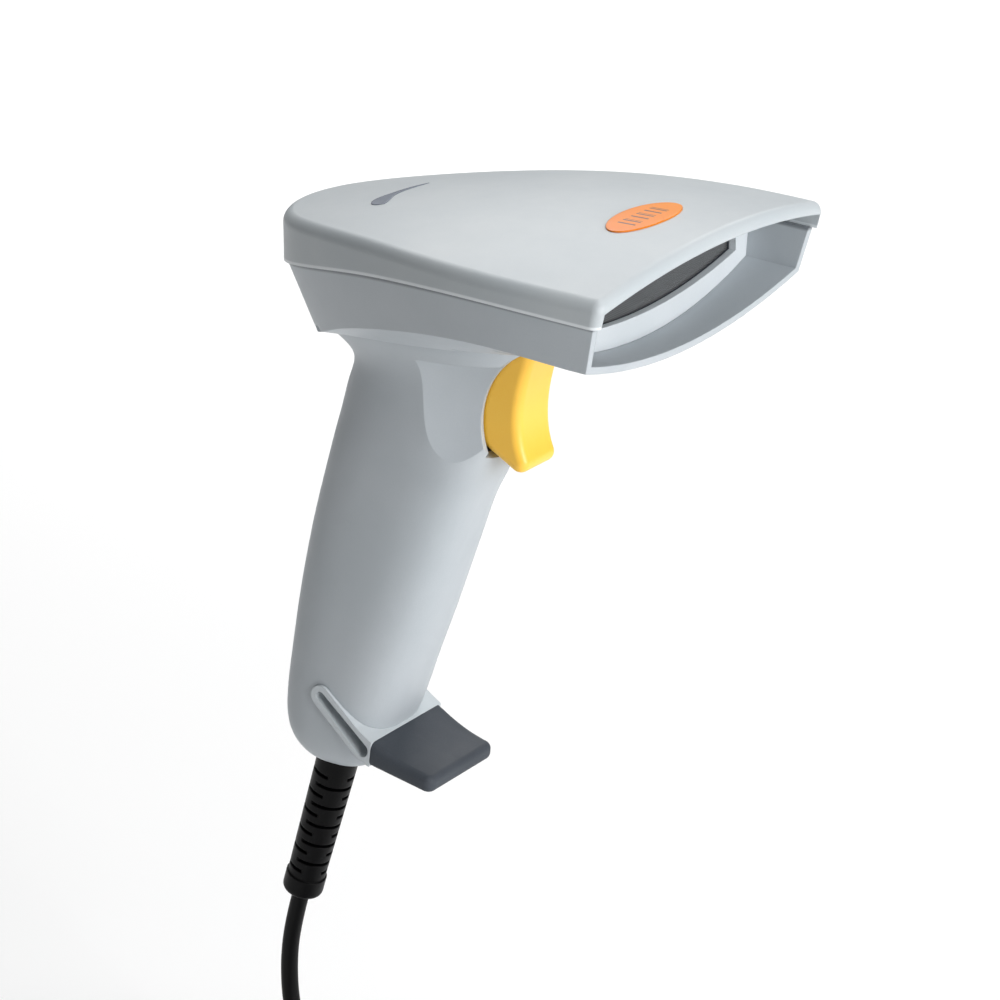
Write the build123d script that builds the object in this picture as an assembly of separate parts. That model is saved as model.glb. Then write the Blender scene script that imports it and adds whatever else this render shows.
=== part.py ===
from build123d import *
import math
import os

# Handheld barcode scanner, in millimetres.
# +X points out of the nose, +Y to the scanner's left, +Z up.
# The origin is on the grip, where the palm closes around it.

# ---------------------------------------------------------------- driving dimensions
NOSE_X = 97.0  # front of the head at the ridge of the cover
REAR_X = -22.8  # rear of the cover's skirt
HEAD_HALF = 52.0  # half width of the cover at the nose
WALL = 2.2  # side walls of the mouldings
TOP_WALL = 3.0  # roof of the cover
FLOOR_WALL = 1.9  # belly of the lower case
RAKE = 0.244  # the mouth leans back by this much X per Z
MOUTH_X = 93.9  # lower case's front plane at MOUTH_Z
MOUTH_Z = 88.2
COVER_LEAD = 1.6  # the cover stands this far in front of the lower case
EDGE_ROUND = 3.2  # rounding between the cover's roof and skirt
NOSE_ROUND = 2.4  # rounding of the roof's front edge

GRIP_HALF = 15.0  # half width of the grip
FOOT_HALF = 15.8  # half width of the foot hook
FOOT_TIP_HALF = 14.4
TRIGGER_W = 15.0
TRIGGER_SLOT_W = 16.0
PIVOT = (42.0, 69.0)  # X and Z of the trigger's pin
PIN_R = 1.25
PIN_CLEARANCE = 0.05
FINGER_R = 21.7  # finger scoop in front of the grip
FINGER_AT = (57.8, 44.5)
CHEEK_R = 60.0  # hollow at each side of the trigger
CHEEK_AT = (53.7, 66.4, 47.0)

SENSOR_Z = 82.0  # optical axis
CHASSIS_Z = 75.5  # underside of the optical chassis
BOARD_T = 1.6

RELIEF_R = 5.7
RELIEF_END_R = 5.1
RELIEF_RING_R = 5.5
RELIEF_LEAN = math.radians(16.9)  # strain relief leans back from straight down
RELIEF_TOP = (-13.6, -55.0)
RELIEF_LENGTH = 49.5
FLANGE_R = 7.2  # flange that holds the strain relief inside the grip
FLANGE_UP = (3.0, 5.0)  # its two faces, measured up the axis from RELIEF_TOP
CORD_R = 2.35
FLOOR_Z = -180.0  # surface that the put-away cord lies on

os.makedirs("parts", exist_ok=True)
nodes = {}


def save(name, shape):
    """Write one node as parts/NAME.step, its solids kept apart."""
    pieces = shape if isinstance(shape, list) else [shape]
    solids = [solid for piece in pieces for solid in piece.solids()]
    body = solids[0] if len(solids) == 1 else Compound(children=solids)
    body.label = name
    nodes[name] = body
    export_step(body, f"parts/{name}.step")


# ---------------------------------------------------------------- small helpers
def block(x0, x1, y0, y1, z0, z1):
    """Box between two corners."""
    centre = ((x0 + x1) / 2, (y0 + y1) / 2, (z0 + z1) / 2)
    return Pos(*centre) * Box(x1 - x0, y1 - y0, z1 - z0)


def rod(x, y, z0, z1, radius):
    """Upright cylinder."""
    return Pos(x, y, (z0 + z1) / 2) * Cylinder(radius, z1 - z0)


def rod_x(x0, x1, y, z, radius):
    """Cylinder along X."""
    return Pos((x0 + x1) / 2, y, z) * Rot(0, 90, 0) * Cylinder(radius, x1 - x0)


def rod_y(x, z, y0, y1, radius):
    """Cylinder along Y."""
    return Pos(x, (y0 + y1) / 2, z) * Rot(90, 0, 0) * Cylinder(radius, y1 - y0)


def side_profile(points, half):
    """Extrude a polygon, drawn in X and Z, equally to both sides of the middle plane."""
    outline = Polyline(*[(x, 0, z) for x, z in points], close=True)
    return extrude(make_face(outline), half, dir=(0, 1, 0), both=True)


def lean_plane(at):
    """Plane square to the strain relief, whose normal points down along it."""
    down = (-math.sin(RELIEF_LEAN), 0, -math.cos(RELIEF_LEAN))
    return Plane(origin=(at[0], 0, at[1]), z_dir=down, x_dir=(0, 1, 0))


def along_relief(distance):
    """X and Z of a point down the strain relief's axis."""
    return (
        RELIEF_TOP[0] - distance * math.sin(RELIEF_LEAN),
        RELIEF_TOP[1] - distance * math.cos(RELIEF_LEAN),
    )


# ---------------------------------------------------------------- head
# Half outline of the cover seen from above: rounded rear, flaring to a wide nose.
HEAD_PLAN = [
    (REAR_X, 0),
    (REAR_X + 5.8, 17.2),
    (-3.0, 27.7),
    (20, 38.1),
    (48, 47.8),
    (70, 51.4),
    (NOSE_X + 8, HEAD_HALF - 0.3),
]
# Stations of the roof: X, height of its ridge and fall of its crown at HEAD_HALF.
RIDGE = [
    (-45, 88.0, 9.0),
    (-24, 91.2, 9.0),
    (-5, 94.9, 8.0),
    (20, 98.6, 6.0),
    (48, 100.7, 4.8),
    (75, 101.0, 4.6),
    (98, 100.8, 5.4),
    (116, 100.0, 6.0),
]
# Height of the edge between cover and lower case, along X.
PARTING = [(-40, 75.5), (-24, 78.0), (-5, 82.0), (20, 87.0), (38, 89.4), (58, 90.6), (80, 90.2), (112, 88.4)]
# Stations of the belly: X, half width of its side crease, height of crease and of its middle.
BELLY = [
    (-45, 30, 60.5, 60.5),
    (-14, 30, 64.5, 60.9),
    (5, 31, 70.8, 60.4),
    (20, 37, 75.0, 61.2),
    (36, 42, 77.2, 63.0),
    (52, 46, 78.8, 65.6),
    (72, 49, 79.2, 69.0),
    (92, 49.5, 77.9, 70.8),
    (112, 49.5, 77.0, 71.6),
]


def plan_face(z, stretch_x=1.0, stretch_y=1.0):
    """Head outline at height z, scaled about the nose."""
    half = [(NOSE_X - (NOSE_X - x) * stretch_x, y * stretch_y) for x, y in HEAD_PLAN]
    right = [(x, -y, z) for x, y in reversed(half)]
    left = [(x, y, z) for x, y in half[1:]]
    flank = Spline(*right, *left, tangents=[(-1, 0, 0), (1, 0, 0)])
    return make_face(flank + Line(left[-1], right[0]))


def under_crown(inset):
    """Everything below the cover's crowned roof, lowered by inset."""
    half = HEAD_HALF + 8
    sections = []
    for x, ridge, fall in RIDGE:
        top = ridge - inset
        drop = fall * (half / HEAD_HALF) ** 2
        arc = ThreePointArc((x, -half, top - drop), (x, 0, top), (x, half, top - drop))
        rest = Polyline((x, half, top - drop), (x, half, 60), (x, -half, 60), (x, -half, top - drop))
        sections.append(make_face(arc + rest))
    return loft(sections)


def above_belly(inset):
    """Everything above the rounded belly, raised by inset."""
    sections = []
    for x, crease_half, crease, middle in BELLY:
        half = crease_half + 5
        rise = (crease - middle) * (half / crease_half) ** 2 + 0.02
        base = middle + inset
        arc = ThreePointArc((x, -half, base + rise), (x, 0, base), (x, half, base + rise))
        rest = Polyline((x, half, base + rise), (x, half, 112), (x, -half, 112), (x, -half, base + rise))
        sections.append(make_face(arc + rest))
    return loft(sections)


def above_parting():
    """Space above the edge between the cover and the lower case."""
    edge = Spline(*[(x, 0, z) for x, z in PARTING])
    first, last = PARTING[0], PARTING[-1]
    rest = Polyline((last[0], 0, last[1]), (last[0], 0, 130), (first[0], 0, 130), (first[0], 0, first[1]))
    return extrude(make_face(edge + rest), 80, dir=(0, 1, 0), both=True)


def ahead_of_mouth(lead):
    """Space in front of the raked mouth plane."""
    low, high = 40.0, 130.0
    foot = MOUTH_X + lead + RAKE * (low - MOUTH_Z)
    head = MOUTH_X + lead + RAKE * (high - MOUTH_Z)
    return side_profile([(foot, low), (150, low), (150, high), (head, high)], 80)


def cover_form(inset, crown_inset):
    """Space inside the cover's skirt and roof, drawn in by inset and lowered by crown_inset."""
    scale_y = 1 - inset / HEAD_HALF
    scale_x = 1 - inset / (NOSE_X - REAR_X)
    upright = extrude(plan_face(70, scale_x, scale_y), 45, dir=(0, 0, 1))
    return upright & under_crown(crown_inset)


def roof_of(form):
    """The cover's roof face."""
    roof = form.faces().filter_by(lambda f: f.center().Z > 90 and abs(f.normal_at().Z) > 0.8)
    return roof.sort_by(SortBy.AREA)[-1]


def rounded_cover():
    """The cover's outside, with its raked front and rounded roof edges."""
    form = cover_form(0, 0) - ahead_of_mouth(COVER_LEAD)
    flank = [e for e in roof_of(form).edges() if e.center().X < 80]
    form = fillet(flank, EDGE_ROUND)
    front = [e for e in roof_of(form).edges() if e.center().X > 90 and e.length > 60]
    return fillet(front, NOSE_ROUND)


def lower_form(inset, belly_inset):
    """The lower case's outside, or the hollow inside it."""
    wide = 1 - inset / HEAD_HALF
    near = 1 - inset / (NOSE_X - REAR_X)
    top = plan_face(92, 1.050 * near, 0.983 * wide)
    base = plan_face(58, 0.906 * near, 0.895 * wide)
    return loft([base, top], ruled=True) & above_belly(belly_inset)


CASE_SCREWS = [(-3.0, -18.4), (-3.0, 18.4), (64.0, -41.0), (64.0, 41.0)]
CASE_SCREW_SEAT = {-3.0: 72.0, 64.0: 80.0}
CASE_SCREW_LENGTH = 12.0
CASE_SCREW_R = 1.3
SCREW_FLANGE = 2.5  # lower case thickness under a screw head
BOSS_R = 3.0


def cover_posts():
    """Posts that hang from the roof and take the case screws."""
    posts = []
    for x, y in CASE_SCREWS:
        meet = CASE_SCREW_SEAT[x] + SCREW_FLANGE
        post = rod(x, y, meet, 110, BOSS_R) & cover_form(1, 1)
        posts.append(post - rod(x, y, meet - 1, CASE_SCREW_SEAT[x] + CASE_SCREW_LENGTH, CASE_SCREW_R))
    return posts


def case_posts():
    """Posts on the floor of the lower case under the cover's posts."""
    inside = lower_form(0.5, 0.5) + grip_form(0.5)
    posts = []
    for x, y in CASE_SCREWS:
        posts.append(rod(x, y, 50, CASE_SCREW_SEAT[x] + SCREW_FLANGE, BOSS_R + 1) & inside)
    return posts


def top_cover():
    shell = rounded_cover() - cover_form(WALL, TOP_WALL)
    shell = shell & above_parting()
    shell = shell + cover_posts()
    return shell - badge_form() - indicator_form()


# ---------------------------------------------------------------- grip
# Grip sections from the neck down: height, rear X, front X, half width.
GRIP = [
    (66.0, -15.5, 50.0, 20.0),
    (62.0, -12.0, 49.0, 18.2),
    (59.0, -8.1, 48.0, 16.6),
    (55.5, -5.3, 46.8, 15.6),
    (49.5, -6.4, 45.0, GRIP_HALF),
    (40.0, -9.0, 41.8, GRIP_HALF),
    (34.5, -10.4, 38.2, GRIP_HALF),
    (29.0, -11.8, 35.6, GRIP_HALF),
    (22.0, -13.8, 31.9, GRIP_HALF),
    (12.0, -16.6, 27.9, GRIP_HALF),
    (0.0, -19.5, 23.5, GRIP_HALF),
    (-15.0, -22.5, 17.9, GRIP_HALF),
    (-30.0, -24.9, 12.0, GRIP_HALF),
    (-42.0, -26.3, 7.4, 14.9),
    (-50.0, -25.3, 3.6, 14.2),
    (-55.0, -22.0, 1.0, 12.2),
    (-58.0, -17.0, -3.0, 8.4),
]
ROUND_AT_NECK = 2.35  # power of the superellipse there; 2 is an ellipse
SQUARE_AT_PALM = 2.8


def oval(z, rear, front, half, inset):
    """Rounded grip section: a superellipse drawn as one closed curve."""
    centre, reach = (rear + front) / 2, (front - rear) / 2 - inset
    side = half - inset
    power = 2 / min(SQUARE_AT_PALM, max(ROUND_AT_NECK, ROUND_AT_NECK + (45 - z) * 0.03))
    points = []
    for step in range(16):
        turn = math.pi + 2 * math.pi * step / 16
        c, s = math.cos(turn), math.sin(turn)
        points.append(
            (
                centre + reach * math.copysign(abs(c) ** power, c),
                side * math.copysign(abs(s) ** power, s),
                z,
            )
        )
    return make_face(Spline(*points, periodic=True))


def grip_form(inset, low=-99.0):
    return loft([oval(*section, inset) for section in GRIP if section[0] > low])


def trigger_slot():
    """Opening that the trigger comes out of; its lower end runs along the trigger's underside."""
    outline = [(28, 40.3), (51.6, 26.4), (51.6, 74), (31, 74), (31, 66), (28, 66)]
    return side_profile(outline, TRIGGER_SLOT_W / 2)


def pivot_ears():
    """Two ears on the scoop's wall that hold the trigger's pin."""
    x, z = PIVOT
    ears = []
    for side in (-1, 1):
        y0, y1 = sorted((side * (TRIGGER_SLOT_W / 2 + 0.1), side * (TRIGGER_SLOT_W / 2 + 3.1)))
        ears.append(block(x - 3.2, x + 1.4, y0, y1, z - 10.0, z) + rod_y(x, z, y0, y1, 3.2))
    return ears


def bracket_ribs():
    """Ribs on the grip's side walls that the switch bracket is screwed to."""
    inside = grip_form(0.5)
    ribs = []
    for y0, y1 in ((-15, -9.4), (9.4, 15)):
        ribs.append(block(BRACKET_X - 6, BRACKET_X, y0, y1, SWITCH_Z - 4, SWITCH_Z + 4) & inside)
    return ribs


def finger_scoop(radius):
    """Round hollow in front of the grip where the fingers lie."""
    return rod_y(FINGER_AT[0], FINGER_AT[1], -60, 60, radius)


def cheeks(radius):
    """Two shallow hollows that lead from the grip's sides to the finger scoop."""
    x, y, z = CHEEK_AT
    return [Pos(x, side * y, z) * Sphere(radius) for side in (-1, 1)]


def lower_case():
    head = lower_form(0, 0) - above_parting() - ahead_of_mouth(0)
    grip_hollow = grip_form(WALL, -54.0) - finger_scoop(FINGER_R + WALL) - cheeks(CHEEK_R + WALL)
    case = head + grip_form(0) - lower_form(WALL, FLOOR_WALL) - grip_hollow
    case = case + case_posts() + chassis_posts() + pivot_ears() + bracket_ribs()
    scoop = finger_scoop(FINGER_R) & block(-60, 90, -60, 60, 20, 64.4)
    near_trigger = block(15, 60, -30, 30, 20, 60.6) & grip_form(-1.0)
    case = case - (scoop & grip_form(-1.0))
    for cheek in cheeks(CHEEK_R):
        case = case - (cheek & near_trigger)
    for x, y in CASE_SCREWS:
        seat = CASE_SCREW_SEAT[x]
        case = case - rod(x, y, 50, seat, 2.7) - rod(x, y, seat - 1, seat + 20, CASE_SCREW_R)
    for x, y in CHASSIS_SCREWS:
        case = case - rod(x, y, CHASSIS_Z - 3.3, CHASSIS_Z + 1, CHASSIS_SCREW_R)
    for y in BRACKET_SCREW_Y:
        case = case - rod_x(BRACKET_X - 4, BRACKET_X + 1, y, SWITCH_Z, SMALL_SCREW_R)
    case = case - trigger_slot() - rod_y(PIVOT[0], PIVOT[1], -30, 30, PIN_R)
    return case - foot_envelope() - relief_hole()


def relief_hole():
    """Bore in the bottom of the grip for the strain relief, with a pocket for its flange."""
    bore = extrude(lean_plane(along_relief(-FLANGE_UP[0])) * Circle(RELIEF_R), 30)
    return bore + extrude(lean_plane(along_relief(-9.0)) * Circle(FLANGE_R), 9.0 - FLANGE_UP[0])


# ---------------------------------------------------------------- foot hook
SLOT_TOP = (-9.2, -36.4)
SLOT_END = (3.6, -48.2)
SLOT_R = (1.3, 1.9)  # round ends of the slot, top and bottom
RIM_R = (3.0, 3.1)


def hairpin(radii, half):
    """Slanted bar with round ends along the foot's slot."""
    (x0, z0), (x1, z1) = SLOT_TOP, SLOT_END
    top, end = radii
    run = math.hypot(x1 - x0, z1 - z0)
    ux, uz = (x1 - x0) / run, (z1 - z0) / run
    corners = [
        (x0 - uz * top, z0 + ux * top),
        (x1 - uz * end, z1 + ux * end),
        (x1 + uz * end, z1 - ux * end),
        (x0 + uz * top, z0 - ux * top),
    ]
    bar = side_profile(corners, half)
    return bar + rod_y(x0, z0, -half, half, top) + rod_y(x1, z1, -half, half, end)


DECK = [(-7.2, -34.3), (-1.0, -40.2), (7.4, -46.1), (24.5, -51.9)]


def tongue(half, z_offset=0.0):
    """Foot plate in side view: a deck curving forward and a flat underside."""
    deck = Spline(*[(x, 0, z + z_offset) for x, z in DECK])
    x_end, z_end = DECK[-1]
    rest = Polyline(
        (x_end, 0, z_end + z_offset),
        (x_end - 0.6, 0, -56.9),
        (5.0, 0, -52.2),
        (-3.0, 0, -45.4),
        (DECK[0][0], 0, DECK[0][1] + z_offset),
    )
    return extrude(make_face(deck + rest), half, dir=(0, 1, 0), both=True)


def foot_taper():
    """Plan of the foot: its sides draw in slightly towards the tip."""
    points = [(-30, FOOT_HALF), (7.4, FOOT_HALF), (24.6, FOOT_TIP_HALF)]
    outline = [(x, y, -70) for x, y in points] + [(x, -y, -70) for x, y in reversed(points)]
    return extrude(make_face(Polyline(*outline, close=True)), 50, dir=(0, 0, 1))


def foot_envelope():
    return (tongue(FOOT_HALF) + hairpin(RIM_R, FOOT_HALF)) & foot_taper()


def tip_zone():
    """Space ahead of the line where the rubber tip starts."""
    return side_profile([(7.4, -40), (5.0, -58), (40, -70), (40, -40)], 30)


def foot_core():
    """Thin plate of the hook that the rubber tip is moulded over."""
    inner = side_profile([(0, -45), (21.5, -52.6), (20.9, -54.6), (0, -49.2)], FOOT_TIP_HALF - 2.6)
    return inner & tip_zone()


def grip_foot():
    return foot_envelope() - tip_zone() + foot_core() - hairpin(SLOT_R, 40)


def foot_tip():
    """Rubber tip with rounded front corners and edges."""
    rubber = foot_envelope() & tip_zone()
    front = rubber.faces().sort_by(Axis.X)[-1]
    corners = front.edges().filter_by(lambda e: abs(e.center().Y) > 10)
    rubber = fillet(corners, 2.6)
    front = rubber.faces().sort_by(Axis.X)[-1]
    return fillet(front.edges().filter_by(Axis.Y), 1.9) - foot_core()


# ---------------------------------------------------------------- trigger group
TRIGGER_FRONT = [(50.4, 64.6), (47.9, 57.0), (46.3, 49.5), (46.1, 43.0), (46.7, 39.0), (47.6, 36.2)]


def trigger():
    """Finger trigger with its hinge lug and the tab under the spring."""
    front = Spline(*[(x, 0, z) for x, z in TRIGGER_FRONT])
    toe = ThreePointArc((47.6, 0, 36.2), (47.1, 0, 33.1), (44.0, 0, 32.6))
    rest = Polyline((44.0, 0, 32.6), (35.0, 0, 37.9), (34.2, 0, 45), (36.0, 0, 58), (37.5, 0, 64.6), (50.4, 0, 64.6))
    blade = extrude(make_face(front + toe + rest), TRIGGER_W / 2, dir=(0, 1, 0), both=True)
    sides = blade.edges().filter_by(lambda e: abs(abs(e.center().Y) - TRIGGER_W / 2) < 0.01)
    blade = fillet(sides.filter_by(lambda e: e.center().X > 44 and e.center().Z < 62), 2.4)
    x, z = PIVOT
    neck = side_profile([(38.2, 63), (47.5, 63), (45.0, z), (39.0, z)], TRIGGER_W / 2)
    lug = rod_y(x, z, -TRIGGER_W / 2, TRIGGER_W / 2, 3.0)
    tab = block(28.0, 41.0, -3.6, 3.6, z - 3.2, z - 1.2)
    nib = block(30.6, 36.5, -2.0, 2.0, 46.0, 50.0)
    whole = blade + neck + lug + tab + nib
    return whole - rod_y(x, z, -20, 20, PIN_R + PIN_CLEARANCE)


def trigger_pin():
    half = TRIGGER_SLOT_W / 2 + 3.1
    return rod_y(PIVOT[0], PIVOT[1], -half, half, PIN_R)


SPRING_AT = (30.8, 0.0)
SPRING_LOW = PIVOT[1] - 1.2
SPRING_HIGH = CHASSIS_Z
SPRING_WIRE = 0.3
SPRING_R = 2.1
SPRING_TURNS = 3.5


def trigger_spring():
    """Compression spring between the trigger's tab and the chassis."""
    height = SPRING_HIGH - SPRING_LOW - 2 * SPRING_WIRE
    path = Helix(pitch=height / SPRING_TURNS, height=height, radius=SPRING_R)
    section = Plane(origin=path @ 0, z_dir=path % 0) * Circle(SPRING_WIRE)
    coil = Pos(SPRING_AT[0], SPRING_AT[1], SPRING_LOW + SPRING_WIRE) * sweep(section, path=path, is_frenet=True)
    return coil


SWITCH_Z = 48.0  # height of the switch's plunger
BRACKET_X = 13.4  # rear face of the switch bracket
BRACKET_SCREW_Y = (-10.8, 10.8)
SMALL_SCREW_R = 0.9


def switch_body():
    """Sub-miniature snap switch standing in the top of the grip."""
    case = block(15.0, 27.6, -3.2, 3.2, SWITCH_Z - 6.4, SWITCH_Z + 3.2)
    case = fillet(case.edges().filter_by(Axis.Y), 0.6)
    guide = rod_x(22.0, 28.6, 0, SWITCH_Z, 1.02)
    return case - guide - rod_y(21.3, SWITCH_Z - 4.6, -9, 9, 0.8)


def switch_plunger():
    """Button of the switch, which slides along X."""
    return rod_x(24.4, 30.3, 0, SWITCH_Z, 0.97)


def switch_bracket():
    """Plate behind the switch, with a shelf over it, screwed to the two ribs in the grip."""
    plate = block(BRACKET_X, 15.0, -12.4, 12.4, SWITCH_Z - 4, SWITCH_Z + 4.6)
    spine = block(BRACKET_X, 15.0, -3.2, 3.2, SWITCH_Z - 6.4, SWITCH_Z - 4)
    shelf = block(15.0, 25.0, -3.2, 3.2, SWITCH_Z + 3.2, SWITCH_Z + 4.6)
    bracket = plate + spine + shelf
    for y in BRACKET_SCREW_Y:
        bracket = bracket - rod_x(10, 20, y, SWITCH_Z, SMALL_SCREW_R)
    return bracket


def bracket_screws():
    """Two screws along X through the bracket into the ribs."""
    screw = Rot(0, 90, 0) * small_screw(0, 0, 0, 5.0, SMALL_SCREW_R)
    return [Pos(15.0, y, SWITCH_Z) * screw for y in BRACKET_SCREW_Y]


def switch_terminals():
    """Three solder tags on the underside of the switch."""
    return [block(x, x + 1.0, -1.6, 1.6, SWITCH_Z - 9.6, SWITCH_Z - 6.4) for x in (17.0, 20.8, 24.6)]


# ---------------------------------------------------------------- scan mouth
BEZEL_X = 75.4
BEZEL_T = 2.0
WINDOW_HALF = 42.2
WINDOW_SILL = 77.6  # lower edge of the window in the middle


def mouth_plate(x, thickness, inset):
    """Upright plate that fills the mouth from belly to roof."""
    plate = block(x, x + thickness, -60, 60, 50, 110)
    inner_low = lower_form(WALL + inset, FLOOR_WALL + inset) - above_parting()
    inner_high = cover_form(WALL + inset, TOP_WALL + inset) & above_parting()
    return plate & (inner_low + inner_high)


def window_hole(x, thickness, grow):
    """Curved-sill opening of the window."""
    half = WINDOW_HALF + grow
    low, side = WINDOW_SILL - grow, WINDOW_SILL + 5.0 - grow
    top, top_side = 97.0 + grow, 91.0 + grow
    outline = (
        ThreePointArc((x, -half, side), (x, 0, low), (x, half, side))
        + Line((x, half, side), (x, half, top_side))
        + ThreePointArc((x, half, top_side), (x, 0, top), (x, -half, top_side))
        + Line((x, -half, top_side), (x, -half, side))
    )
    return extrude(make_face(outline), thickness, dir=(1, 0, 0))


def scan_bezel():
    return mouth_plate(BEZEL_X, BEZEL_T, 0.05) - window_hole(BEZEL_X - 1, BEZEL_T + 2, 0)


def window_gasket():
    """Foam frame between the window and the bezel."""
    return window_hole(BEZEL_X - 0.6, 0.6, 0.8) - window_hole(BEZEL_X - 1, 2, 0)


def scan_window():
    return window_hole(BEZEL_X - 2.4, 1.8, 0.8)


# ---------------------------------------------------------------- optics and electronics
def fan(x0, half0, x1, half1, z0, z1):
    """Trapezoid block that widens towards the nose."""
    outline = Polyline((x0, -half0, z0), (x1, -half1, z0), (x1, half1, z0), (x0, half0, z0), close=True)
    return extrude(make_face(outline), z1 - z0, dir=(0, 0, 1))


CHASSIS_TOP = 86.4
CHASSIS_REAR = -3.4
CHASSIS_NOSE = 66.5
CHASSIS_FLOOR = CHASSIS_Z + 1.8
BOARD_TOP = CHASSIS_TOP + BOARD_T
CHASSIS_SCREWS = [(8.0, -20.0), (8.0, 20.0), (40.0, -30.0), (40.0, 30.0)]
CHASSIS_SCREW_R = 1.1
BOARD_SCREWS = [(3.4, -9.5), (3.4, 9.5), (60.0, -29.6), (60.0, 29.6)]


def optical_chassis():
    """Fan-shaped light box that carries the optics and the decoder board."""
    box = fan(CHASSIS_REAR, 12.5, CHASSIS_NOSE, 34.0, CHASSIS_Z, CHASSIS_TOP)
    box = box - fan(CHASSIS_REAR + 1.6, 11.0, 70, 33.8, CHASSIS_FLOOR, 95)
    for x, y in CHASSIS_SCREWS:
        box = box + rod(x, y, CHASSIS_Z, CHASSIS_FLOOR, 3.0)
        y0, y1 = sorted((y, y * 0.72))
        box = box + block(x - 3.0, x + 3.0, y0, y1, CHASSIS_Z, CHASSIS_FLOOR)
        box = box - rod(x, y, 60, 100, CHASSIS_SCREW_R)
    for x, y in BOARD_SCREWS:
        box = box + rod(x, y, CHASSIS_Z + 1.0, CHASSIS_TOP, 2.3)
        box = box - rod(x, y, CHASSIS_TOP - 6, CHASSIS_TOP + 1, SMALL_SCREW_R)
    return box


def chassis_posts():
    """Posts of the lower case under the chassis ears."""
    return [rod(x, y, 50, CHASSIS_Z, 3.0) & lower_form(0.5, 0.5) for x, y in CHASSIS_SCREWS]


def decoder_board():
    board = fan(CHASSIS_REAR + 0.8, 11.5, CHASSIS_NOSE - 1.0, 33.0, CHASSIS_TOP, BOARD_TOP)
    for x, y in BOARD_SCREWS:
        board = board - rod(x, y, 80, 100, SMALL_SCREW_R)
    return board


# Packages on the decoder board: centre X and Y, size X and Y, height.
CHIPS = [(18, 0, 12, 12, 1.4), (34, -9, 8, 10, 1.2), (34, 9, 6, 8, 1.0), (48, 4, 5, 5, 0.9), (50, -12, 6, 4, 1.0)]


def decoder_chips():
    chips = []
    for x, y, dx, dy, height in CHIPS:
        chips.append(block(x - dx / 2, x + dx / 2, y - dy / 2, y + dy / 2, BOARD_TOP, BOARD_TOP + height))
    return chips


def buzzer():
    """Sounder that beeps on a good read."""
    return rod(26, 15.5, BOARD_TOP, BOARD_TOP + 3.0, 4.5) - rod(26, 15.5, BOARD_TOP + 2.2, BOARD_TOP + 4, 1.0)


def board_connector():
    """Socket of the wire harness, open to the rear."""
    shell = block(-3.0, 2.0, -4.4, 4.4, BOARD_TOP, BOARD_TOP + 2.4)
    return shell - block(0.2, 1.4, -3.6, 3.6, BOARD_TOP + 0.8, BOARD_TOP + 3)


def sensor_board():
    return block(-0.6, 0.8, -10.0, 10.0, CHASSIS_FLOOR, CHASSIS_TOP - 0.4)


def line_sensor():
    """Linear image sensor in its ceramic package."""
    package = block(0.8, 2.4, -5.6, 5.6, SENSOR_Z - 2.6, SENSOR_Z + 1.6)
    return package - block(2.0, 2.6, -4.6, 4.6, SENSOR_Z - 1.2, SENSOR_Z + 0.4)


LENS_Z = SENSOR_Z - 0.4
LENS_BORE = 2.6


def lens_barrel():
    """Ribbed barrel on a foot that stands on the chassis floor."""
    barrel = rod_x(8.0, 17.0, 0, LENS_Z, 3.9)
    rings = [rod_x(9.0 + i, 9.5 + i, 0, LENS_Z, 4.2) for i in range(7)]
    foot = block(10.0, 15.0, -5.0, 5.0, CHASSIS_FLOOR, LENS_Z - 2.0)
    return barrel + rings + foot - rod_x(7, 18, 0, LENS_Z, LENS_BORE)


def focusing_lens():
    """Lens with two bulging faces, inside the barrel."""
    disc = rod_x(12.0, 14.0, 0, LENS_Z, LENS_BORE)
    return fillet(disc.edges().filter_by(GeomType.CIRCLE), 0.8)


def led_board():
    """Low board behind the window; the light path passes above it."""
    return block(64.4, 65.8, -30.0, 30.0, CHASSIS_FLOOR, CHASSIS_FLOOR + 2.8)


def scan_leds():
    """Row of red LEDs facing the window."""
    row = []
    z = CHASSIS_FLOOR + 1.4
    for i in range(8):
        y = -24.5 + 7 * i
        row.append(rod_x(65.8, 67.8, y, z, 1.1) + Pos(67.8, y, z) * Sphere(1.1))
    return row


def small_screw(x, y, seat, length, radius, down=True):
    """Pan-head screw with a cross recess; it points down or up from its seat."""
    head_r, head_h = radius * 1.9, radius * 1.3
    head = rod(x, y, seat, seat + head_h, head_r)
    head = fillet(head.edges().sort_by(Axis.Z)[-1], head_h * 0.5)
    slot = radius * 0.55
    for dx, dy in ((radius * 2.2, slot), (slot, radius * 2.2)):
        head = head - block(x - dx / 2, x + dx / 2, y - dy / 2, y + dy / 2, seat + head_h * 0.5, seat + 9)
    screw = head + rod(x, y, seat - length, seat, radius)
    if not down:
        screw = Pos(0, 0, 2 * seat) * mirror(screw, Plane.XY)
    return screw


def case_screws():
    screws = []
    for x, y in CASE_SCREWS:
        screws.append(small_screw(x, y, CASE_SCREW_SEAT[x], CASE_SCREW_LENGTH, CASE_SCREW_R, down=False))
    return screws


def chassis_screws():
    return [small_screw(x, y, CHASSIS_FLOOR, 4.8, CHASSIS_SCREW_R) for x, y in CHASSIS_SCREWS]


def board_screws():
    return [small_screw(x, y, BOARD_TOP, 5.0, SMALL_SCREW_R) for x, y in BOARD_SCREWS]


# ---------------------------------------------------------------- badge and indicator
BADGE_AT = (76.6, 0.0)
BADGE_HALF = (6.0, 14.4)
INDICATOR_REAR = [(10.8, -13.2), (7.8, -14.0), (5.8, -11.4), (5.9, -5.0), (7.0, 1.5), (9.0, 8.6)]
INDICATOR_FRONT = [(9.0, 8.6), (8.2, 1.0), (8.6, -6.0), (10.2, -10.6), (10.8, -13.2)]


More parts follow.
